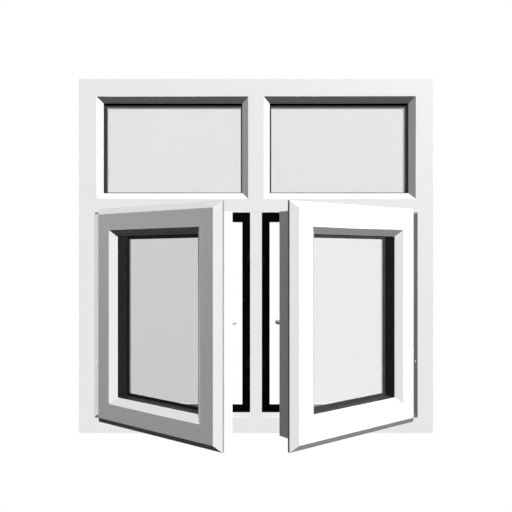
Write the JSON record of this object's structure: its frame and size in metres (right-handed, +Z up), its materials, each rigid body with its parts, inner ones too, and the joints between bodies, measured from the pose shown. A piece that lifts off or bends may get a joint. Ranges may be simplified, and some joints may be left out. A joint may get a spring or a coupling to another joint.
{
  "type": "casement window",
  "caption": "White plastic casement window with fixed lights above and side-hung outward-opening sashes below, on friction stays with lever handles.",
  "frame": {"origin": "centre of the sill's flat underside, midway between the outer and inner faces", "axes": "+Z up, +X to the right seen from outdoors, +Y towards indoors, -Y outdoors, the way the sashes open"},
  "size_m": [1, 0.3698, 1],
  "materials": {
    "white_upvc": "smooth semi-gloss white extruded plastic",
    "glass": "clear float glass with a pale grey cast",
    "seal": "matt black rubber",
    "spacer": "dark warm-edge spacer bar",
    "galvanised": "galvanised steel",
    "stainless": "satin stainless steel",
    "black_steel": "matt black coated steel",
    "brass": "plain brass",
    "packer": "matt moulded plastic",
    "handle": "white powder-coated metal"
  },
  "bodies": {
    "root": {"fixed_beads": "white_upvc", "fixed_gaskets": "seal", "fixed_inner_pane": "glass", "fixed_outer_pane": "glass", "fixed_packers": "packer", "fixed_spacer": "spacer", "frame_head": "white_upvc", "frame_left_jamb": "white_upvc", "frame_right_jamb": "white_upvc", "frame_screws": "stainless", "frame_sill": "white_upvc", "frame_steels": "galvanised", "keeps": "black_steel", "lower_mullion": "white_upvc", "rebate_seals": "seal", "stay_tracks": "stainless", "transom": "white_upvc", "upper_mullion": "white_upvc"},
    "left_sash": {"left_bottom_rail": "white_upvc", "left_flange_seal": "seal", "left_handle_base": "handle", "left_hinge_stile": "white_upvc", "left_lock_case": "stainless", "left_lock_stile": "white_upvc", "left_sash_arms": "stainless", "left_sash_beads": "white_upvc", "left_sash_gaskets": "seal", "left_sash_inner_pane": "glass", "left_sash_outer_pane": "glass", "left_sash_packers": "packer", "left_sash_screws": "stainless", "left_sash_spacer": "spacer", "left_sash_steels": "galvanised", "left_top_rail": "white_upvc"},
    "left_handle": {"left_handle": "handle"},
    "left_lock_bar": {"left_drive_bar": "stainless"},
    "left_support_arms": {"left_support_arms": "stainless"},
    "left_rear_arms": {"left_rear_arms": "stainless"},
    "left_shoes": {"left_shoes": "brass"},
    "right_sash": {"right_bottom_rail": "white_upvc", "right_flange_seal": "seal", "right_handle_base": "handle", "right_hinge_stile": "white_upvc", "right_lock_case": "stainless", "right_lock_stile": "white_upvc", "right_sash_arms": "stainless", "right_sash_beads": "white_upvc", "right_sash_gaskets": "seal", "right_sash_inner_pane": "glass", "right_sash_outer_pane": "glass", "right_sash_packers": "packer", "right_sash_screws": "stainless", "right_sash_spacer": "spacer", "right_sash_steels": "galvanised", "right_top_rail": "white_upvc"},
    "right_handle": {"right_handle": "handle"},
    "right_lock_bar": {"right_drive_bar": "stainless"},
    "right_support_arms": {"right_support_arms": "stainless"},
    "right_rear_arms": {"right_rear_arms": "stainless"},
    "right_shoes": {"right_shoes": "brass"}
  },
  "joints": [
    {"name": "left_support_arm_pivot", "type": "hinge", "parent": "root", "child": "left_support_arms", "pos_m": [-0.2515, -0.03, 0.33325], "axis": [0, 0, 1], "range_deg": [-30.18, 17.86]},
    {"name": "left_sash_swing", "type": "hinge", "parent": "left_support_arms", "child": "left_sash", "pos_m": [-0.35525, -0.09029, 0.33325], "axis": [0, 0, -1], "range_deg": [-67.86, 40.14]},
    {"name": "left_rear_arm_pivot", "type": "hinge", "parent": "left_sash", "child": "left_rear_arms", "pos_m": [-0.41697, -0.04259, 0.33325], "axis": [0, 0, 1], "range_deg": [-57.32, 33.92]},
    {"name": "left_shoe_pivot", "type": "hinge", "parent": "left_rear_arms", "child": "left_shoes", "pos_m": [-0.37929, -0.02917, 0.33325], "axis": [0, 0, -1], "range_deg": [-19.62, 11.62]},
    {"name": "left_handle_turn", "type": "hinge", "parent": "left_sash", "child": "left_handle", "pos_m": [-0.10474, -0.28454, 0.33325], "axis": [-0.6115, -0.7912, 0], "range_deg": [0, 90]},
    {"name": "left_lock_bar_slide", "type": "slide", "parent": "left_sash", "child": "left_lock_bar", "axis": [0, 0, 1], "range_m": [-0.00002, 0.01802]},
    {"name": "right_support_arm_pivot", "type": "hinge", "parent": "root", "child": "right_support_arms", "pos_m": [0.2515, -0.03, 0.33325], "axis": [0, 0, -1], "range_deg": [-30.18, 17.86]},
    {"name": "right_sash_swing", "type": "hinge", "parent": "right_support_arms", "child": "right_sash", "pos_m": [0.35525, -0.09029, 0.33325], "axis": [0, 0, 1], "range_deg": [-67.86, 40.14]},
    {"name": "right_rear_arm_pivot", "type": "hinge", "parent": "right_sash", "child": "right_rear_arms", "pos_m": [0.41697, -0.04259, 0.33325], "axis": [0, 0, -1], "range_deg": [-57.32, 33.92]},
    {"name": "right_shoe_pivot", "type": "hinge", "parent": "right_rear_arms", "child": "right_shoes", "pos_m": [0.37929, -0.02917, 0.33325], "axis": [0, 0, 1], "range_deg": [-19.62, 11.62]},
    {"name": "right_handle_turn", "type": "hinge", "parent": "right_sash", "child": "right_handle", "pos_m": [0.10474, -0.28454, 0.33325], "axis": [-0.6115, 0.7912, 0], "range_deg": [0, 90]},
    {"name": "right_lock_bar_slide", "type": "slide", "parent": "right_sash", "child": "right_lock_bar", "axis": [0, 0, 1], "range_m": [-0.00002, 0.01802]}
  ],
  "couplings": [
    {"joint": "left_support_arm_pivot", "follows": "left_sash_swing", "ratio": 0.44444},
    {"joint": "left_rear_arm_pivot", "follows": "left_sash_swing", "ratio": 0.84444},
    {"joint": "left_shoe_pivot", "follows": "left_sash_swing", "ratio": 0.28889},
    {"joint": "left_lock_bar_slide", "follows": "left_handle_turn", "m_per_rad": 0.011459},
    {"joint": "right_support_arm_pivot", "follows": "right_sash_swing", "ratio": 0.44444},
    {"joint": "right_rear_arm_pivot", "follows": "right_sash_swing", "ratio": 0.84444},
    {"joint": "right_shoe_pivot", "follows": "right_sash_swing", "ratio": 0.28889},
    {"joint": "right_lock_bar_slide", "follows": "right_handle_turn", "m_per_rad": 0.011459}
  ]
}
